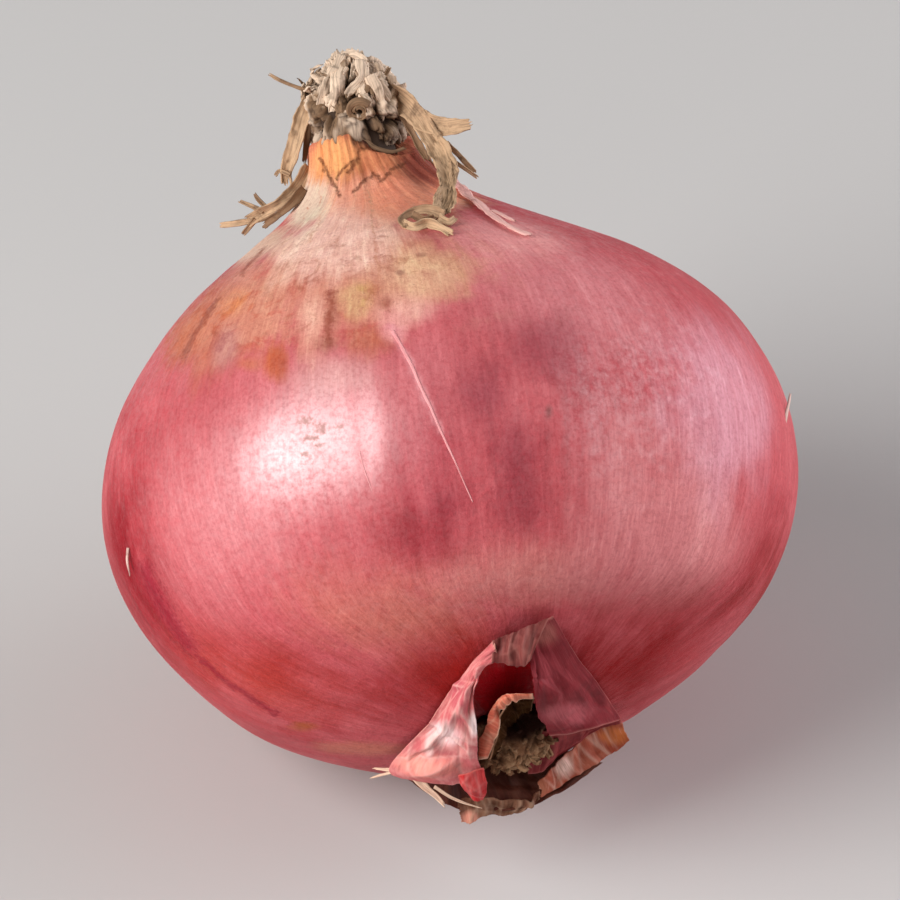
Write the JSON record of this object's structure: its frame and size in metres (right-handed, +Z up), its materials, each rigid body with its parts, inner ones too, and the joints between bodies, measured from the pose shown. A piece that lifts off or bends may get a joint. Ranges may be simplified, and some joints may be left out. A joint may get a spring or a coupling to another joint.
{
  "type": "shallot",
  "caption": "Squat shallot bulb lying tipped over, with a dried neck and knotted tuft of leaf ends, a root plate with dried root stubs, and a collar of torn papery skin.",
  "frame": {"origin": "middle of the small flat spot the bulb rests on, at table height", "axes": "+Z up; the neck leans towards +Y and up, the root end faces -Y and down; +X to the right when looking along +Y at the root end"},
  "size_m": [0.0544, 0.0522, 0.0486],
  "materials": {
    "bulb_skin": "satin",
    "dry_leaf": "matte",
    "dry_root": "matte",
    "torn_skin": "satin"
  },
  "bodies": {
    "root": {"bulb": "bulb_skin", "neck_tuft": "dry_leaf", "root_plate": "dry_root", "torn_skin": "torn_skin"}
  },
  "joints": []
}
